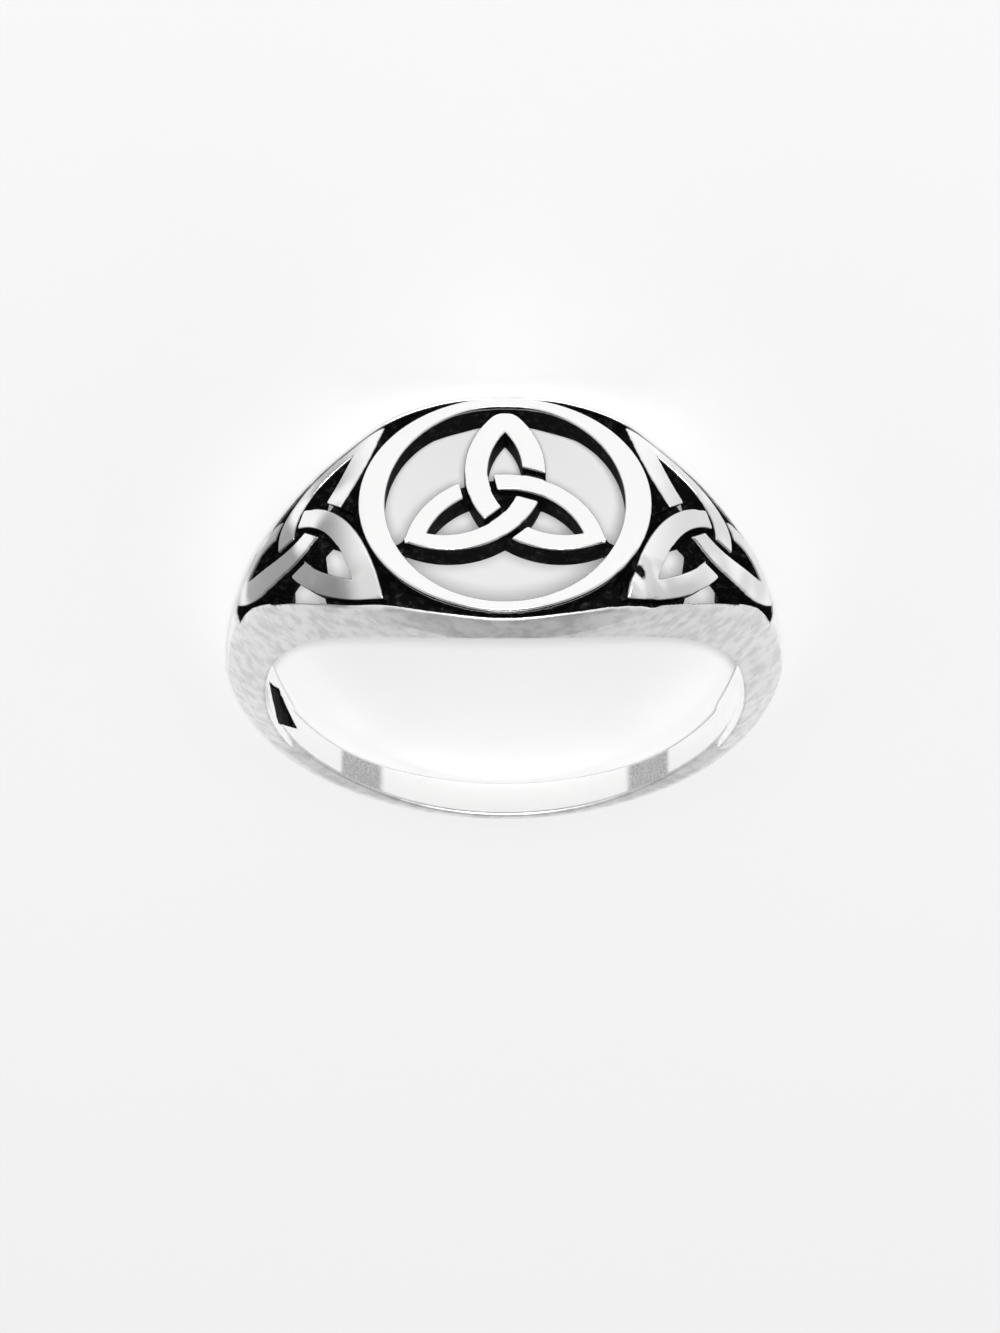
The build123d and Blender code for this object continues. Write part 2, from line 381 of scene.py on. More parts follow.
def circle_through(x1, y1, x2, y2, x3, y3):
    """Centre and radius of the circle through three points."""
    d = 2 * (x1 * (y2 - y3) + x2 * (y3 - y1) + x3 * (y1 - y2))
    s1, s2, s3 = x1**2 + y1**2, x2**2 + y2**2, x3**2 + y3**2
    cx = (s1 * (y2 - y3) + s2 * (y3 - y1) + s3 * (y1 - y2)) / d
    cy = (s1 * (x3 - x2) + s2 * (x1 - x3) + s3 * (x2 - x1)) / d
    return cx, cy, np.hypot(x1 - cx, y1 - cy)


def meet(a, b, rounding):
    """What lies inside both forms, with the edge between them rounded."""
    h = np.maximum(rounding - np.abs(a - b), 0.0)
    return np.maximum(a, b) + h * h / (4 * rounding)


def join(a, b, rounding):
    """What lies inside either form, with the corner between them filled."""
    return -meet(-a, -b, rounding)


def outline_distance(points, across, along):
    """Distance to a closed outline, negative inside it."""
    best = np.full(across.shape, 1e9)
    inside = np.zeros(across.shape, bool)
    for a, b in zip(points, np.roll(points, -1, axis=0)):
        ex, ey = b - a
        length = ex * ex + ey * ey
        if length < 1e-12:
            continue
        px, py = across - a[0], along - a[1]
        t = np.clip((px * ex + py * ey) / length, 0, 1)
        best = np.minimum(best, (px - t * ex) ** 2 + (py - t * ey) ** 2)
        if ey != 0:
            inside ^= ((a[1] > along) != (b[1] > along)) & (px < ex * py / ey)
    return np.where(inside, -1, 1) * np.sqrt(best)


def turned_box(x, y, centre, length, width, angle):
    """Distance to a rectangle turned about its centre."""
    c, s = np.cos(np.radians(angle)), np.sin(np.radians(angle))
    px, py = x - centre[0], y - centre[1]
    return np.maximum(np.abs(px * c + py * s) - length / 2, np.abs(py * c - px * s) - width / 2)


def bent_line(points, steps=48):
    """Points along a curve with four control points, in shares of a shoulder knot's reach."""
    t = np.linspace(0, 1, steps)[:, None]
    p = np.array(points, float) * knot_reach
    s = 1 - t
    return s**3 * p[0] + 3 * s**2 * t * p[1] + 3 * s * t**2 * p[2] + t**3 * p[3]


class FlatForm:
    """A form drawn flat, kept as distances on a fine grid."""

    low, high, cell = (-4.8, -4.6), (4.6, 4.6), 0.02

    def __init__(self, draw):
        axes = [np.arange(lo, hi + self.cell, self.cell) for lo, hi in zip(self.low, self.high)]
        self.values = draw(*np.meshgrid(*axes, indexing="ij"))

    def at(self, across, along):
        """Distance at points between those of the grid."""
        shape = self.values.shape
        fx = np.clip((across - self.low[0]) / self.cell, 0, shape[0] - 1.001)
        fy = np.clip((along - self.low[1]) / self.cell, 0, shape[1] - 1.001)
        i, j = fx.astype(np.int32), fy.astype(np.int32)
        fx, fy = fx - i, fy - j
        v = self.values
        near = v[i, j] * (1 - fx) + v[i + 1, j] * fx
        far = v[i, j + 1] * (1 - fx) + v[i + 1, j + 1] * fx
        return near * (1 - fy) + far * fy


class RingForm:
    """The whole ring as a distance from its skin, negative in the metal."""

    def __init__(self, sizes):
        self.bore = sizes.bore_radius / MM
        self.table = self.bore + sizes.table_rise / MM
        self.span = self.bore + sizes.span_rise / MM
        self.half_width = sizes.head_half_width / MM
        self.rail = sizes.rail_width / MM
        self.opening = sizes.opening_radius / MM
        self.strand = sizes.strand_width / MM
        self.over = sizes.shoulder_strand / MM
        self.tilt = np.arctan2(self.half_width - shank_half_width, 2 * self.bore)
        self.angles = np.linspace(0, 180, 721)
        self.draw_sections()
        self.parted = FlatForm(self.draw_parted)
        self.pierced = FlatForm(self.draw_pierced)

    def draw_sections(self):
        """The arcs of the head's and the shank's sections at every angle."""
        head = {n: smooth_column(head_rows, n, self.angles) for n in Head._fields[1:]}
        shank = {n: smooth_column(shank_rows, n, self.angles) for n in Shank._fields[1:]}
        half = self.half_width * head["half"]
        centre, edge = self.table * head["centre"], self.table * head["edge"]
        self.crown = self.arch(centre, edge, half)
        self.ground, self.hollow = (
            self.arch(centre - depth * head[name], edge - depth * head[name + "_edge"], half)
            for name, depth in (("ground", ground_depth), ("shell", shell_thickness))
        )
        foot = shank_half_width * shank["foot"]
        thickness = shank_thickness * shank["thickness"]
        knee = foot * shank["knee"]
        rise = thickness * shank["knee_height"]
        middle = foot * shank["middle"]
        self.flank = circle_through(
            self.bore, foot, self.bore + rise / 2, middle, self.bore + rise, knee
        )
        self.ridge = self.arch(self.bore + thickness, self.bore + rise, knee)

    @staticmethod
    def arch(centre, edge, half):
        """An arc that is highest in the middle: its centre, its radius and how far it runs."""
        sag = centre - edge
        curve = (half**2 + sag**2) / (2 * sag)
        return centre - curve, curve, half + 0.2

    def look(self, column, angle):
        """A column's value at any angle from the bezel."""
        return np.interp(angle, self.angles, column)

    def above(self, arch, angle, radius, w):
        """Height above an arch, which runs on level beyond its half width."""
        centre, curve, reach = (self.look(column, angle) for column in arch)
        return np.hypot(np.maximum(radius - centre, 0), np.minimum(np.abs(w), reach)) - curve

    def beside(self, x, w, half, span):
        """Distance from the head's outline, a curve across the finger on each side."""
        slope = 2 * half * x / span**2
        return (np.abs(w) - half * (1 - (x / span) ** 2)) / np.sqrt(1 + slope**2)

    def side_face(self, x, u, w):
        """Distance from the head's side faces, which lean in towards the top."""
        lean = ramp(u, self.bore, self.table)
        half = self.half_width - lean * (self.half_width - top_half_width)
        return self.beside(x, w, half, self.span)

    def shoulder_strands(self, t, w):
        """Distances to the two long strands, the cross strand and the tips where they join."""
        cross_outer = bent_line([(-1.067, 1), (0.397, 0.587), (0.397, -0.587), (-1.067, -1)])
        cross_inner = bent_line(
            [(-0.813, -0.715), (0.005, -0.277), (0.005, 0.277), (-0.813, 0.715)]
        )
        cross = outline_distance(np.vstack([cross_outer, cross_inner]), t, w)
        strands, edges, tips = [], [], []
        for side in (1, -1):
            flip = (1, side)
            outer = bent_line(
                np.multiply([(-1.067, 1), (-1.227, -0.269), (0.232, -0.688), (1.0, 0)], flip)
            )
            inner = bent_line(
                np.multiply([(0.63, 0), (-0.045, -0.293), (-0.784, -0.059), (-0.813, 0.715)], flip)
            )
            strands.append(outline_distance(np.vstack([outer, inner]), t, w))
            edges.append(outer)
            near = cross_outer[side_tip_points if side == 1 else -1 - side_tip_points]
            tips.append(np.array([outer[0], outer[side_tip_points], inner[-1], near]))
        first_side, second_side = (outer[-1 - end_tip_points] for outer in edges)
        tips.append(np.array([edges[0][-1], first_side, inner[0], second_side]))
        tips = np.minimum.reduce([outline_distance(tip, t, w) for tip in tips])
        return (*strands, cross, tips)

    def draw_parted(self, t, w):
        """The shoulder knot with each strand parted where it passes under another."""
        first, second, cross, tips = self.shoulder_strands(t, w)
        parted = np.minimum(np.minimum(first, second), cross)
        for over, (place, angle) in zip((first, cross, second), shoulder_gaps):
            centre = (place[0] * knot_reach, place[1] * knot_reach)
            gap = turned_box(t, w, centre, gap_length, self.over + 2 * gap_width, angle)
            parted = np.maximum(parted, -np.maximum(gap, -over))
        return np.minimum(parted, tips)

    def draw_pierced(self, t, w):
        """The places between the strands that are cut right through."""
        openings = (
            (rail_opening, 1), (rail_opening, -1), (bezel_opening, 1), (back_bezel_opening, -1)
        )
        outlines = [np.array(shape) * (knot_reach, side * knot_reach) for shape, side in openings]
        pierced = np.minimum.reduce([outline_distance(outline, t, w) for outline in outlines])
        return np.maximum(pierced, -np.minimum.reduce(self.shoulder_strands(t, w)))

    def head(self, x, u, w, radius, angle, crown):
        """The hollow head with its raised strands, its pierced places and its bezel."""
        t = np.abs(x) * np.cos(np.radians(shoulder_angle)) - u * np.sin(np.radians(shoulder_angle))
        between = self.beside(
            x, w, (self.half_width + top_half_width) / 2 - self.rail, self.span - self.rail / 2
        )
        oval = np.hypot(x / bezel_half_length, w / bezel_half_width)
        steepness = np.hypot(x / bezel_half_length**2, w / bezel_half_width**2) + 1e-9
        oval = oval * (oval - 1) / steepness
        solid = meet(meet(crown, self.side_face(x, u, w), edge_round), u - self.table, edge_round)
        ground = -self.above(self.ground, angle, radius, w)
        recess = np.maximum(np.maximum(between, ground), recess_end - u)
        recess = np.maximum(recess, np.maximum(-self.parted.at(t, w), -oval))
        solid = meet(solid, -recess, edge_round)
        holes = np.maximum(np.maximum(self.pierced.at(t, w), between), pierce_end - u)
        solid = meet(solid, -holes, edge_round)
        hollow = np.maximum(
            self.above(self.hollow, angle, radius, w),
            self.beside(x, w, self.half_width - rim_wall, self.span - rim_wall),
        )
        solid = meet(solid, -hollow, soft_round)
        bezel = meet(oval, u - self.table, edge_round)
        bezel = meet(bezel, self.table - shell_thickness - u, edge_round)
        solid = np.minimum(solid, bezel)
        opening = np.maximum(np.hypot(x, w) - self.opening, self.table / 2 - u)
        return meet(solid, -opening, edge_round)

    def shank(self, w, radius, angle):
        """The band under the finger."""
        centre, height, curve = (self.look(column, angle) for column in self.flank)
        flank = np.hypot(radius - centre, np.abs(w) - height) - curve
        return meet(flank, self.above(self.ridge, angle, radius, w), soft_round)

    def centre_strands(self, x, w):
        """Distances to the two curved strands and the bar of the centre knot."""
        found = []
        for side in (1, -1):
            outer = np.hypot(x - side * strand_centre[0], w - strand_centre[1]) - strand_curve
            inner = np.hypot(x - side * (strand_centre[0] + strand_taper[1]), w - strand_centre[1])
            inner = strand_curve - self.strand + strand_taper[0] - inner
            wedge = np.maximum(-side * x, (w - tip_slope * side * x) / np.hypot(1, tip_slope))
            found.append(np.maximum(np.maximum(outer, inner), -wedge - tip_overlap))
        away = np.hypot(x, w - bar_centre)
        wedge = (tip_slope * np.abs(x) - w) / np.hypot(1, tip_slope)
        bar = np.maximum(away - bar_curve, bar_curve - bar_width - away)
        found.append(np.maximum(bar, -wedge - tip_overlap))
        return found

    def centre_knot(self, x, u, w):
        """The knot in the opening and the three necks that hold it."""
        first, second, bar = self.centre_strands(x, w)
        plan = np.minimum(np.minimum(first, second), bar)
        plan = meet(plan, np.hypot(x, w) - (self.opening - knot_gap), soft_round)
        under = self.table - plate_thickness - u
        solid = meet(meet(plan, u - self.table, edge_round), under, edge_round)
        for over, place, angle in zip((first, bar, second), knot_crossings, crossing_angles):
            gap = turned_box(x, w, place, gap_length, self.strand + 2 * gap_width, angle)
            gap = np.maximum(np.maximum(gap, -over), self.table - gap_depth - u)
            solid = meet(solid, -gap, gap_round)
        web = outline_distance(np.array(knot_crossings), x, w)
        web = np.maximum(np.maximum(web, u - self.table + web_drop), under)
        solid = join(solid, web, gap_round)
        slope = np.degrees(np.arctan(tip_slope))
        top = self.table - neck_drop
        for angle in (-90, slope, 180 - slope):
            turn = np.radians(angle)
            place = (self.opening * np.cos(turn), self.opening * np.sin(turn))
            neck = turned_box(x, w, place, 3 * knot_gap, neck_width, angle)
            neck = meet(meet(neck, u - top, soft_round), top - neck_thickness - u, soft_round)
            solid = join(solid, neck, soft_round)
        return solid

    def lozenge(self, x, u, w, radius):
        """The shallow plain lozenge inside the shank."""
        a = np.radians(mark_angle)
        along = x * np.cos(a) - u * np.sin(a)
        across = (np.abs(along) / mark_size[0] + np.abs(w) / mark_size[1] - 0.5) * min(mark_size)
        outward = x * np.sin(a) + u * np.cos(a)
        return np.maximum(np.maximum(across, radius - self.bore - mark_depth), 1 - outward)

    def dents(self, x, u, w):
        """Small knocks on the tip of one shoulder strand."""
        dx, du, dw = x - dent_place[0], u - dent_place[1], w - dent_place[2]
        near = np.clip(1 - (dx**2 + du**2 + dw**2) / dent_reach**2, 0, 1)
        long, cross, short = (np.sin(a * dx + b * dw + start) for a, b, start in dent_waves)
        return dent_depth * near * (long * cross + dent_ripple * short + dent_press)

    def distance(self, p):
        """Distance from the skin at points of the ring's own frame."""
        x, u, w = p[:, 0], p[:, 1], p[:, 2]
        radius = np.hypot(x, u)
        angle = np.degrees(np.arctan2(np.abs(x), u))
        crown = self.above(self.crown, angle, radius, w)
        head = self.head(x, u, w, radius, angle, crown)
        share = ramp(angle, *head_to_shank)
        share = share * share * (3 - 2 * share)
        solid = head * (1 - share) + self.shank(w, radius, angle) * share
        solid = meet(solid, self.bore - radius, soft_round)
        solid = meet(solid, -self.lozenge(x, u, w, radius), gap_round)
        solid = solid + self.dents(x, u, w)

        # The centre knot stands in the bezel alone
        far_side = np.where(u > self.bore - 1, 0, 9)
        return np.minimum(solid, self.centre_knot(x, u, w) + far_side)

    def finish_masks(self, p, normals):
        """How deep each point lies in the blackened parts and in the painted shade of the deepest
        knocks, and how much it is a side face.
        """
        x, u, w = p[:, 0], p[:, 1], p[:, 2]
        radius = np.hypot(x, u)
        angle = np.degrees(np.arctan2(np.abs(x), u))
        dents = self.dents(x, u, w)
        top = np.maximum(self.above(self.crown, angle, radius, w), u - self.table)

        # Knocks stay bright, and only the deepest of them get painted shade: dark patches in the
        # colour of the blackened grounds that stand in for dark reflections
        depth = np.maximum(-top - np.maximum(dents, 0), 3 * (dents - 0.5 * dent_depth))
        outward = normals[:, 2] * np.sign(w)
        inward = -(normals[:, 0] * x + normals[:, 1] * u) / radius
        on_side = ramp(outward, *facing) * ramp(-self.side_face(x, u, w), *side_depth)
        in_bore = ramp(inward, *facing) * ramp(radius - self.bore, *bore_depth)
        in_mark = self.lozenge(x, u, w, radius) < mark_rim
        on_shank = np.where(in_mark, 0, ramp(angle, *bare_shank))
        bare = np.maximum(np.maximum(on_side, in_bore), on_shank)
        bare = np.where(in_mark & (radius > self.bore + mark_floor), 0, bare)
        flank = ramp(outward, *flank_facing) * ramp(angle, *brushed_flank)
        return np.clip(depth, 0, 1) * (1 - bare), np.maximum(on_side, flank)

    def slopes(self, p, reach=0.004):
        """The direction in which the distance grows."""
        found = np.empty_like(p)
        for axis in range(3):
            step = np.zeros(3)
            step[axis] = reach
            found[:, axis] = (self.distance(p + step) - self.distance(p - step)) / (2 * reach)
        return found

    def settle(self, p, rounds, limit=0.03):
        """Points moved along the slope onto the skin."""
        for _ in range(rounds):
            slope = self.slopes(p)
            move = -(self.distance(p) / ((slope**2).sum(1) + 1e-9))[:, None] * slope
            far = np.linalg.norm(move, axis=1, keepdims=True)
            p = p + move * np.minimum(1, limit / (far + 1e-12))
        return p

    def to_world(self, p, middle):
        """Points of the ring's frame, in metres, in the frame in which it lies."""
        c, s = np.cos(self.tilt), np.sin(self.tilt)
        x, u, w = p[:, 0], p[:, 1], p[:, 2]
        return np.stack([-x, s * w - c * u, c * w + s * u], 1) * MM + np.array(middle)


def sampled_cells(form, low, high, pitch, block=8, at_once=2000):
    """Distances at the corners of a grid. Blocks far from the skin get only their sign."""
    low = np.array(low, float)
    blocks = np.ceil((np.array(high) - low) / pitch / block).astype(int)
    count = blocks * block + 1
    corners = np.stack(np.meshgrid(*[np.arange(n + 1) for n in blocks], indexing="ij"), -1)
    coarse = form.distance(low + corners.reshape(-1, 3) * pitch * block).reshape(corners.shape[:3])
    close = np.abs(coarse) < 2 * pitch * block
    near = np.zeros(blocks, bool)
    for i, j, k in np.ndindex(2, 2, 2):
        near |= close[i : blocks[0] + i, j : blocks[1] + j, k : blocks[2] + k]
    field = np.ones(count, np.float32)
    sign = np.where(coarse[:-1, :-1, :-1] < 0, -1, 1).astype(np.float32)
    field[:-1, :-1, :-1] = sign.repeat(block, 0).repeat(block, 1).repeat(block, 2)
    inner = np.stack(np.meshgrid(*[np.arange(block + 1)] * 3, indexing="ij"), -1).reshape(-1, 3)
    places = np.argwhere(near)
    for start in range(0, len(places), at_once):
        at = (places[start : start + at_once, None] * block + inner).reshape(-1, 3)
        field[at[:, 0], at[:, 1], at[:, 2]] = form.distance(low + at * pitch)
    return field, low


def netted_skin(field, low, pitch):
    """One point in each cell that the skin passes through, and a quad over each crossed edge."""
    inside = field < 0
    cells_each_way = np.array(field.shape) - 1
    count = np.zeros(cells_each_way, np.uint8)
    nx, ny, nz = cells_each_way
    for i, j, k in np.ndindex(2, 2, 2):
        count += inside[i : nx + i, j : ny + j, k : nz + k]
    crossed = (count > 0) & (count < 8)
    cells = np.argwhere(crossed)
    number = np.full(cells_each_way, -1, np.int32)
    number[crossed] = np.arange(len(cells))
    total, hits = np.zeros((len(cells), 3)), np.zeros(len(cells))
    value = {c: field[tuple((cells + c).T)] for c in np.ndindex(2, 2, 2)}
    for corner in value:
        for axis in range(3):
            if corner[axis]:
                continue
            other = tuple(corner[m] + (m == axis) for m in range(3))
            a, b = value[corner], value[other]
            hit = (a < 0) != (b < 0)
            share = np.where(hit, a / np.where(hit, a - b, 1), 0)
            total += (np.array(corner, float) + np.eye(3)[axis] * share[:, None]) * hit[:, None]
            hits += hit
    points = low + (cells + total / hits[:, None]) * pitch
    quads = []
    for axis in range(3):
        start, end = [slice(1, -1)] * 3, [slice(1, -1)] * 3
        start[axis], end[axis] = slice(0, -1), slice(1, None)
        changes = inside[tuple(start)] != inside[tuple(end)]
        base = np.argwhere(changes) + 1
        base[:, axis] -= 1
        corners = []
        for first, second in ((-1, -1), (0, -1), (0, 0), (-1, 0)):
            cell = base.copy()
            cell[:, (axis + 1) % 3] += first
            cell[:, (axis + 2) % 3] += second
            corners.append(number[cell[:, 0], cell[:, 1], cell[:, 2]])
        quad = np.stack(corners, 1)
        turned = inside[tuple(end)][changes]
        quad[turned] = quad[turned][:, ::-1]
        quads.append(quad)
    return points, np.vstack(quads)


def mesh_from(name, points, faces):
    """A mesh with even faces, made from arrays."""
    mesh = bpy.data.meshes.new(name)
    mesh.vertices.add(len(points))
    mesh.vertices.foreach_set("co", np.ascontiguousarray(points, np.float32).ravel())
    corners = faces.shape[1]
    mesh.loops.add(faces.size)
    mesh.loops.foreach_set("vertex_index", faces.astype(np.int32).ravel())
    mesh.polygons.add(len(faces))
    mesh.polygons.foreach_set("loop_start", np.arange(len(faces), dtype=np.int32) * corners)
    mesh.update(calc_edges=True)
    mesh.validate()
    return mesh


def thinned(mesh, limit):
    """The same skin with fewer triangles."""
    holder = bpy.data.objects.new("thinning", mesh)
    bpy.context.scene.collection.objects.link(holder)
    mesh.calc_loop_triangles()
    thin = holder.modifiers.new("thin", "DECIMATE")
    thin.ratio = min(1.0, limit / len(mesh.loop_triangles))
    thin.use_collapse_triangulate = True
    graph = bpy.context.evaluated_depsgraph_get()
    found = bpy.data.meshes.new_from_object(holder.evaluated_get(graph))
    bpy.data.objects.remove(holder)
    bpy.data.meshes.remove(mesh)
    return found


def math_node(tree, operation, *values):
    """A Math node. Values are numbers or the outputs of other nodes."""
    made = tree.nodes.new("ShaderNodeMath")
    made.operation = operation
    for socket, value in zip(made.inputs, values):
        if isinstance(value, (int, float)):
            socket.default_value = value
        else:
            tree.links.new(value, socket)
    return made.outputs["Value"]


def map_range(tree, value, low, high, to_low=0.0, to_high=1.0):
    """A value carried smoothly from one range to another."""
    made = tree.nodes.new("ShaderNodeMapRange")
    made.interpolation_type = "SMOOTHSTEP"
    tree.links.new(value, made.inputs["Value"])
    names = ("From Min", "From Max", "To Min", "To Max")
    for name, limit in zip(names, (low, high, to_low, to_high)):
        made.inputs[name].default_value = limit
    return made.outputs["Result"]


def band(tree, value, start, full, fade, end):
    """A share that is whole from full to fade, and nothing before start and after end."""
    rising, falling = map_range(tree, value, start, full), map_range(tree, value, end, fade)
    return math_node(tree, "MULTIPLY", rising, falling)


def noise(tree, vector, size, detail=3.0, rough=0.55, stretch=(1, 1, 1)):
    """Soft noise whose patches are about a size in millimetres, drawn out by a stretch."""
    scaled = tree.nodes.new("ShaderNodeVectorMath")
    scaled.operation = "MULTIPLY"
    scaled.inputs[1].default_value = [1 / (size * MM * k) for k in stretch]
    tree.links.new(vector, scaled.inputs[0])
    made = tree.nodes.new("ShaderNodeTexNoise")
    made.inputs["Scale"].default_value = 1.0
    made.inputs["Detail"].default_value = detail
    made.inputs["Roughness"].default_value = rough
    tree.links.new(scaled.outputs["Vector"], made.inputs["Vector"])
    return made.outputs["Fac"]


def mixed(tree, share, first, second):
    """Two colours mixed by a share. Each is a colour or the output of another node."""
    made = tree.nodes.new("ShaderNodeMix")
    made.data_type = "RGBA"
    tree.links.new(share, made.inputs["Factor"])
    for socket, value in ((made.inputs[6], first), (made.inputs[7], second)):
        if isinstance(value, bpy.types.NodeSocket):
            tree.links.new(value, socket)
        else:
            socket.default_value = (*value, 1)
    return made.outputs[2]


def ring_place_group(form, middle):
    """A group that gives a point's place on the ring, also across and round the finger."""
    group = bpy.data.node_groups.new("ring_place", "ShaderNodeTree")
    for name in ("Place", "Across", "Angle", "Radius"):
        kind = "NodeSocketVector" if name == "Place" else "NodeSocketFloat"
        group.interface.new_socket(name=name, in_out="OUTPUT", socket_type=kind)
    out = group.nodes.new("NodeGroupOutput")
    place = group.nodes.new("ShaderNodeTexCoord")
    moved = group.nodes.new("ShaderNodeVectorMath")
    moved.operation = "SUBTRACT"
    moved.inputs[1].default_value = middle
    group.links.new(place.outputs["Object"], moved.inputs[0])
    c, s = np.cos(form.tilt), np.sin(form.tilt)
    parts = []
    for axis in ((-1, 0, 0), (0, -c, s), (0, s, c)):
        part = group.nodes.new("ShaderNodeVectorMath")
        part.operation = "DOT_PRODUCT"
        part.inputs[1].default_value = axis
        group.links.new(moved.outputs["Vector"], part.inputs[0])
        parts.append(part.outputs["Value"])
    joined = group.nodes.new("ShaderNodeCombineXYZ")
    for part, socket in zip(parts, joined.inputs):
        group.links.new(part, socket)
    group.links.new(joined.outputs["Vector"], out.inputs["Place"])
    group.links.new(parts[0], out.inputs["Across"])
    turn = math_node(group, "ARCTAN2", math_node(group, "ABSOLUTE", parts[0]), parts[1])
    group.links.new(math_node(group, "DEGREES", turn), out.inputs["Angle"])
    square = math_node(group, "ADD", *(math_node(group, "POWER", part, 2.0) for part in parts[:2]))
    group.links.new(math_node(group, "SQRT", square), out.inputs["Radius"])
    return group


def attribute(tree, name):
    """A mask kept in the mesh."""
    made = tree.nodes.new("ShaderNodeAttribute")
    made.attribute_name = name
    return made.outputs["Fac"]


def silver_material(finish, form, middle):
    """Polished silver with satin sides and blackened grounds."""
    material = bpy.data.materials.new("blackened_silver")
    material.use_nodes = True
    tree = material.node_tree
    shader = tree.nodes["Principled BSDF"]
    shader.inputs["Specular IOR Level"].default_value = 0.02
    ring = tree.nodes.new("ShaderNodeGroup")
    ring.node_tree = ring_place_group(form, middle)
    place, angle = ring.outputs["Place"], ring.outputs["Angle"]

    # The blackened grounds lie below the polished tops, with an uneven edge, and painted shade lies
    # in the deepest knocks
    depth = attribute(tree, "black_depth")
    ragged = math_node(tree, "MULTIPLY_ADD", noise(tree, place, 0.22), black_ragged, depth)
    black = map_range(tree, ragged, *black_depths)
    side = attribute(tree, "side_face")

    # Brushed patches on the sides, painted shade on the shoulders (grey patches standing in for
    # darker reflections, strongest on one side), and two dull stretches inside
    brushed = noise(tree, place, 0.40, 5.0, 0.6, (1.6, 1.0, 1.2))
    inside = math_node(tree, "LESS_THAN", ring.outputs["Radius"], (form.bore + inside_reach) * MM)
    dull = math_node(tree, "MULTIPLY", band(tree, angle, *dull_stretch), inside)
    patches = map_range(tree, brushed, 0.32, 0.62)
    side_tone = mixed(tree, patches, finish.dull_silver, finish.brushed_silver)
    # Painted shade: grey noise patches on the shoulders, outside the finger hole, stronger towards
    # one side
    start, full = painted_shade_across
    across = map_range(tree, ring.outputs["Across"], start * MM, full * MM, painted_shade_least, 1.0)
    painted_shade = map_range(tree, noise(tree, place, 2.0, 1.0), 0.34, 0.52)
    outside = math_node(tree, "SUBTRACT", 1.0, inside)
    for share in (across, band(tree, angle, *painted_shade_stretch), outside):
        painted_shade = math_node(tree, "MULTIPLY", painted_shade, share)
    tone = mixed(tree, painted_shade, finish.silver, finish.painted_shade)
    grain = map_range(tree, noise(tree, place, 0.05, 3.0, 0.6), 0.2, 0.8)
    tone = mixed(tree, dull, tone, mixed(tree, grain, finish.grained_silver, finish.dull_silver))
    tone = mixed(tree, side, tone, side_tone)
    rubbing = map_range(tree, noise(tree, place, 0.3, 6.0, 0.7), 0.50, 0.78)
    grounds = mixed(tree, rubbing, finish.blackening_and_shade, finish.rubbed)
    tree.links.new(mixed(tree, black, tone, grounds), shader.inputs["Base Color"])
    tree.links.new(math_node(tree, "SUBTRACT", 1.0, black), shader.inputs["Metallic"])

    matt = math_node(tree, "MAXIMUM", side, dull)
    rough = map_range(tree, matt, 0, 1, finish.polish, finish.satin)
    spread = math_node(tree, "MULTIPLY_ADD", brushed, rough_spread, -rough_spread / 2)
    rough = math_node(tree, "ADD", rough, spread)
    rough = math_node(tree, "MULTIPLY_ADD", black, black_rough, rough)
    tree.links.new(rough, shader.inputs["Roughness"])

    # Hand finishing: slow waves from the file and fine marks from the brush
    wave = math_node(tree, "MULTIPLY", noise(tree, place, 1.6, 1.0), finish.wave / MM)
    marks = noise(tree, place, 0.05, 2.0, 0.5, (5, 1, 1))
    marks = math_node(tree, "MULTIPLY", marks, finish.marks / MM)
    bump = tree.nodes.new("ShaderNodeBump")
    bump.inputs["Distance"].default_value = MM
    tree.links.new(math_node(tree, "ADD", wave, marks), bump.inputs["Height"])
    tree.links.new(bump.outputs["Normal"], shader.inputs["Normal"])
    return material


def place_in_collection(thing):
    """An object put in the scene."""
    bpy.context.scene.collection.objects.link(thing)
    return thing


def ring_middle():
    """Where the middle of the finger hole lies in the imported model, in metres."""
    return tuple(frame["record"]["mounts"][0]["pos_m"])


class KNOTRING_OT_casting(bpy.types.Operator):
    """Build the ring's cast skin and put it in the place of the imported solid"""

    bl_idname = "knot_ring.casting"
    bl_label = "Ring casting"

    def execute(self, context):
        sizes, finish = context.scene.knot_ring_sizes, context.scene.knot_ring_finish
        form = RingForm(sizes)
        pitch = sizes.pitch / MM * 1
        high = np.add((form.span, form.table, form.half_width), grid_margin)
        low = (-high[0], -(form.bore + shank_thickness + grid_below), -high[2])
        field, low = sampled_cells(form, low, high, pitch)
        points, quads = netted_skin(field, low, pitch)
        mesh = thinned(mesh_from("knot_ring_cast", points, quads), triangle_limit)
        flat = np.empty(len(mesh.vertices) * 3, np.float32)
        mesh.vertices.foreach_get("co", flat)
        points = form.settle(flat.reshape(-1, 3).astype(float), rounds=2)
        normals = form.slopes(points)
        normals /= np.linalg.norm(normals, axis=1, keepdims=True) + 1e-12
        depth, side = form.finish_masks(points, normals)
        middle = ring_middle()
        mesh.vertices.foreach_set("co", form.to_world(points, middle).astype(np.float32).ravel())
        turned = form.to_world(normals, (0, 0, 0)) / MM
        for name, values in (("black_depth", depth), ("side_face", side)):
            column = mesh.attributes.new(name, "FLOAT", "POINT")
            column.data.foreach_set("value", values.astype(np.float32))
        mesh.polygons.foreach_set("use_smooth", np.ones(len(mesh.polygons), bool))
        mesh.update()
        mesh.normals_split_custom_set_from_vertices(turned)
        mesh.materials.append(silver_material(finish, form, middle))
        piece = place_in_collection(bpy.data.objects.new("knot_ring_cast", mesh))
        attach(piece, "root")
        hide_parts("knot_ring")
        return {"FINISHED"}


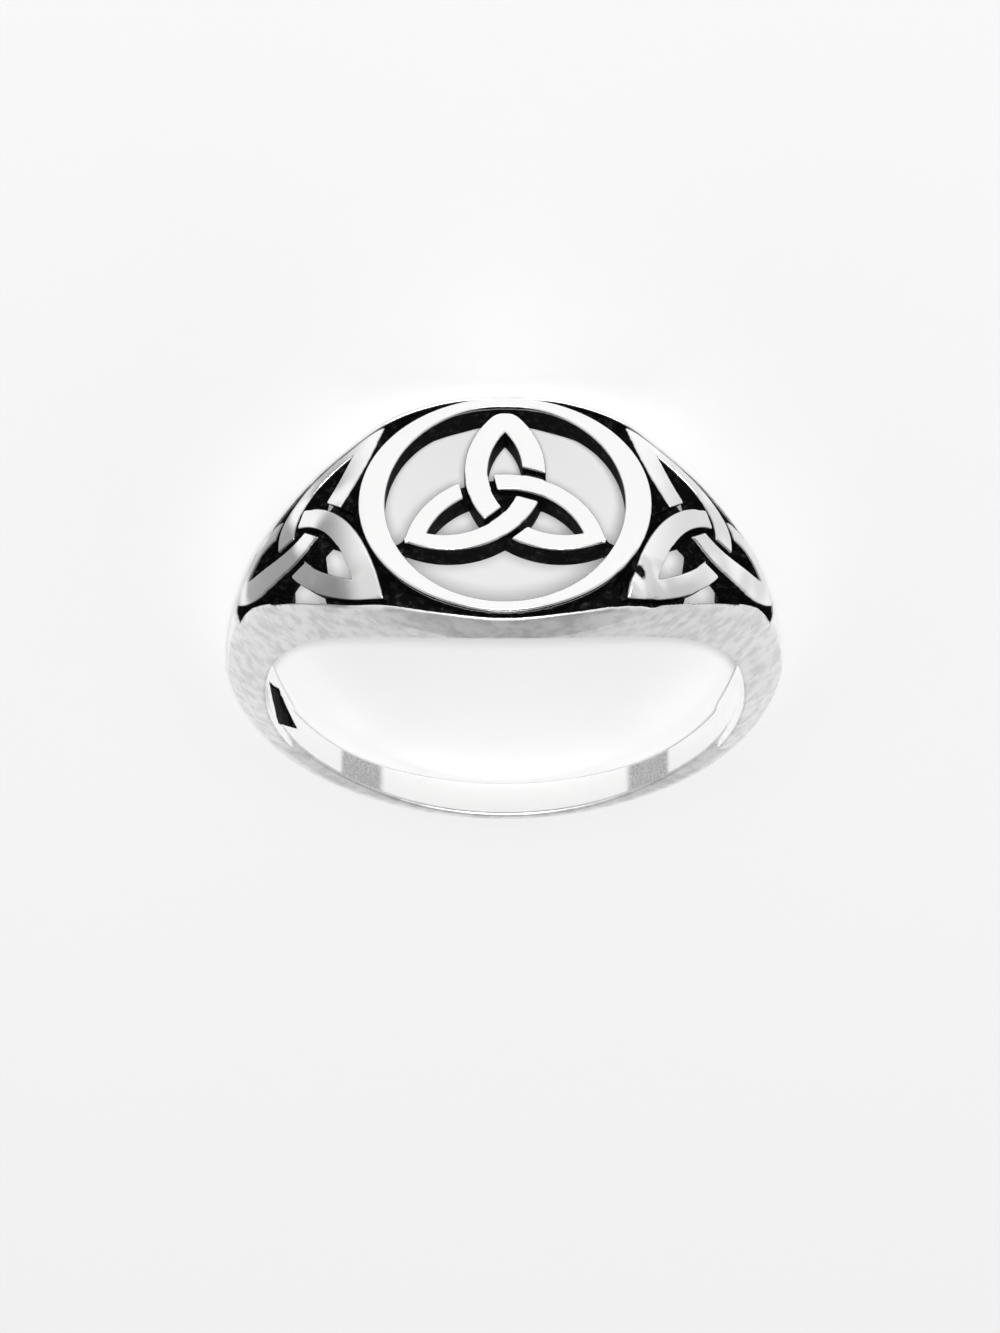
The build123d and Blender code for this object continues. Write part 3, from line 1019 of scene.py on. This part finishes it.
class KNOTRING_OT_stage(bpy.types.Operator):
    """Build the floor, the light and the camera"""

    bl_idname = "knot_ring.stage"
    bl_label = "Stage"

    def execute(self, context):
        stage = context.scene.knot_ring_stage
        middle = Vector(ring_middle())
        build_floor(stage)
        build_light(stage, middle)
        build_camera(middle)
        return {"FINISHED"}


def build_floor(stage):
    """A plain pale floor."""
    mesh = bpy.data.meshes.new("floor")
    corners = [(x * floor_half, y * floor_half, 0) for x, y in ((-1, -1), (1, -1), (1, 1), (-1, 1))]
    mesh.from_pydata(corners, [], [(0, 1, 2, 3)])
    material = bpy.data.materials.new("pale_floor")
    material.use_nodes = True
    shader = material.node_tree.nodes["Principled BSDF"]
    shader.inputs["Base Color"].default_value = (*stage.floor_colour, 1)
    shader.inputs["Roughness"].default_value = 0.8
    shader.inputs["Specular IOR Level"].default_value = 0.2
    mesh.materials.append(material)
    place_in_collection(bpy.data.objects.new("floor", mesh))


def build_light(stage, middle):
    """Light all round that is weaker overhead, and the soft lights."""
    world = bpy.data.worlds.new("tent_light")
    world.use_nodes = True
    tree = world.node_tree
    place = tree.nodes.new("ShaderNodeTexCoord")
    shares = []
    for way, low, high, first, last in (
        (Vector(bright_side).normalized(), -bright_turn, bright_turn, dark_share, 1.0),
        (Vector((0, 0, 1)), *zenith_heights, 1.0, zenith_share),
    ):
        toward = tree.nodes.new("ShaderNodeVectorMath")
        toward.operation = "DOT_PRODUCT"
        toward.inputs[1].default_value = way
        tree.links.new(place.outputs["Generated"], toward.inputs[0])
        shares.append(map_range(tree, toward.outputs["Value"], low, high, first, last))
    strength = math_node(tree, "MULTIPLY", math_node(tree, "MULTIPLY", *shares), stage.sky)
    tree.links.new(strength, tree.nodes["Background"].inputs["Strength"])
    tree.nodes["Background"].inputs["Color"].default_value = (1, 1, 1, 1)
    bpy.context.scene.world = world
    bpy.context.scene.view_settings.view_transform = "Standard"
    for row in lamps:
        lamp = bpy.data.lights.new(row.name, "AREA")
        lamp.shape = "DISK"
        lamp.size = row.size
        lamp.energy = stage.key * row.share
        holder = place_in_collection(bpy.data.objects.new(row.name, lamp))
        holder.location = middle + Vector(row.place)
        holder.rotation_euler = (middle - holder.location).to_track_quat("-Z", "Y").to_euler()


def build_camera(middle):
    """A long lens above the ring, turned as the photograph is."""
    lean = np.radians(camera_lean)
    toward = Vector((0, -np.sin(lean), np.cos(lean)))
    up = Vector((0, -np.cos(lean), -np.sin(lean)))
    right = up.cross(toward)
    lens = bpy.data.cameras.new("camera")
    lens.sensor_width = camera_sensor
    lens.lens = camera_lens
    lens.clip_start = 0.01
    lens.clip_end = 5
    holder = place_in_collection(bpy.data.objects.new("camera", lens))
    place = middle + toward * camera_distance
    place += right * camera_shift[0] * MM
    place += up * camera_shift[1] * MM
    turn = Matrix((right, up, toward)).transposed()
    holder.matrix_world = Matrix.Translation(place) @ turn.to_4x4()
    bpy.context.scene.camera = holder


class KNOTRING_PT_panel(bpy.types.Panel):
    """The ring's sizes, finish and operators"""

    bl_idname = "KNOTRING_PT_panel"
    bl_label = "Knot Ring"
    bl_space_type = "VIEW_3D"
    bl_region_type = "UI"
    bl_category = "Knot Ring"

    def draw(self, context):
        for group in groups:
            box = self.layout.box()
            settings = getattr(context.scene, group)
            for name in settings.__annotations__:
                box.prop(settings, name)
        for operator in operators:
            self.layout.operator(operator.bl_idname)


groups = {
    "knot_ring_sizes": KnotRingSizes,
    "knot_ring_finish": KnotRingFinish,
    "knot_ring_stage": KnotRingStage,
}
operators = (KNOTRING_OT_casting, KNOTRING_OT_stage)


def register():
    """Add the classes and the scene's settings."""
    for made in (*groups.values(), *operators, KNOTRING_PT_panel):
        bpy.utils.register_class(made)
    for name, made in groups.items():
        setattr(bpy.types.Scene, name, PointerProperty(type=made))


def unregister():
    """Take the classes and the scene's settings away."""
    for name in groups:
        delattr(bpy.types.Scene, name)
    for made in (KNOTRING_PT_panel, *reversed(operators), *reversed(groups.values())):
        bpy.utils.unregister_class(made)


def main():
    """Build the ring and its stage."""
    register()
    bpy.ops.knot_ring.casting()
    bpy.ops.knot_ring.stage()


if __name__ == "__main__":
    main()
